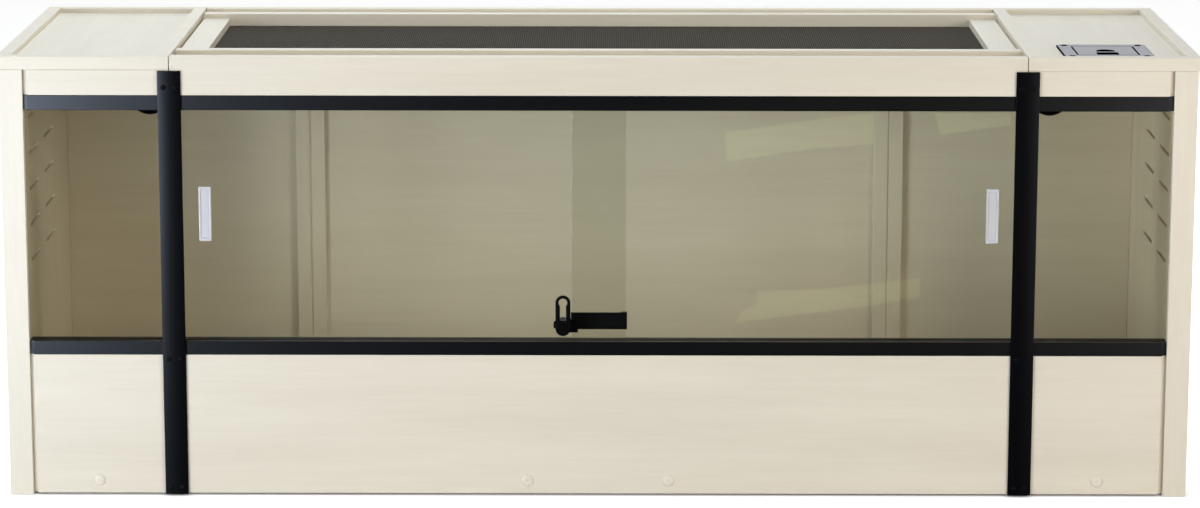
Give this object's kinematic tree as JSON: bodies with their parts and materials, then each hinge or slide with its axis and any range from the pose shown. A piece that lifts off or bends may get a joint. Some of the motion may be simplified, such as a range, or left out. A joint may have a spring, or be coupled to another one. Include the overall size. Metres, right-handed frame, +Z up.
{
  "type": "reptile terrarium",
  "caption": "Long front-opening terrarium: cream board cabinet with sliding glass doors and ratchet lock, mesh screen top, side trays, vented ends, cable grommets and a feeding hatch.",
  "frame": {"origin": "middle of the footprint on the floor: midway between the ends and between the front board faces and the back edge, at the underside of the glides", "axes": "+X to the right as seen from the glass front, along the length; +Y from the glass front to the back; +Z up"},
  "size_m": [1.6, 0.5143, 0.6],
  "materials": {
    "cream_board": "coated board with a faint wood grain, satin",
    "mesh": "black coated wire mesh",
    "track": "black extruded track, satin",
    "glass": "clear float glass, faintly green",
    "frosted_plastic": "frosted clear plastic",
    "black_metal": "black coating, satin",
    "cream_plastic": "moulded cap",
    "black_plastic": "moulded, fine texture",
    "grey_plastic": "moulded, fine texture",
    "steel": "drawn pin",
    "nylon": "moulded glide"
  },
  "bodies": {
    "cabinet": {"side_panel_left": "cream_board", "side_panel_right": "cream_board", "post_left": "cream_board", "post_right": "cream_board", "floor_left": "cream_board", "floor_middle": "cream_board", "floor_right": "cream_board", "back_left": "cream_board", "back_middle": "cream_board", "back_right": "cream_board", "back_strip_left": "cream_board", "back_strip_right": "cream_board", "kick_left": "cream_board", "kick_middle": "cream_board", "kick_right": "cream_board", "fascia_left": "cream_board", "fascia_middle": "cream_board", "fascia_right": "cream_board", "tray_panel_left": "cream_board", "tray_panel_right": "cream_board", "tray_rim_left": "cream_board", "tray_rim_right": "cream_board", "cross_rails": "cream_board", "ledge_front": "cream_board", "ledge_back": "cream_board", "rear_rail": "cream_board", "track_bottom_left": "track", "track_bottom_middle": "track", "track_bottom_right": "track", "track_top_left": "track", "track_top_middle": "track", "track_top_right": "track", "pane_left": "glass", "pane_right": "glass", "batten_left": "black_metal", "batten_right": "black_metal", "batten_screws": "black_metal", "cam_caps": "cream_plastic", "grommet_left": "black_plastic", "grommet_right": "black_plastic", "hatch_plate": "grey_plastic", "hatch_pin": "steel", "hatch_screws": "black_metal", "glides": "nylon"},
    "left_door": {"door_left": "glass", "pull_left": "frosted_plastic", "lock_bar": "black_metal"},
    "right_door": {"door_right": "glass", "pull_right": "frosted_plastic", "lock_barrel": "black_metal"},
    "lock_lever": {"lock_lever": "black_metal"},
    "screen": {"screen_rails": "cream_board", "screen_ends": "cream_board", "screen_mesh": "mesh"},
    "hatch_lid": {"hatch_lid": "grey_plastic", "hatch_latch": "black_plastic"}
  },
  "joints": [
    {"name": "left_door_slide", "type": "slide", "parent": "cabinet", "child": "left_door", "axis": [1, 0, 0], "range_m": [0, 0.48]},
    {"name": "right_door_slide", "type": "slide", "parent": "cabinet", "child": "right_door", "axis": [-1, 0, 0], "range_m": [0, 0.48]},
    {"name": "lever_turn", "type": "hinge", "parent": "right_door", "child": "lock_lever", "pos_m": [-0.047, -0.26035, 0.234], "axis": [0, 1, 0], "range_deg": [0, 90]},
    {"name": "screen_lift", "type": "slide", "parent": "cabinet", "child": "screen", "axis": [0, 0, 1], "range_m": [0, 0.15]},
    {"name": "hatch_hinge", "type": "hinge", "parent": "cabinet", "child": "hatch_lid", "pos_m": [0.684, -0.112, 0.5922], "axis": [-1, 0, 0], "range_deg": [0, 105]}
  ]
}
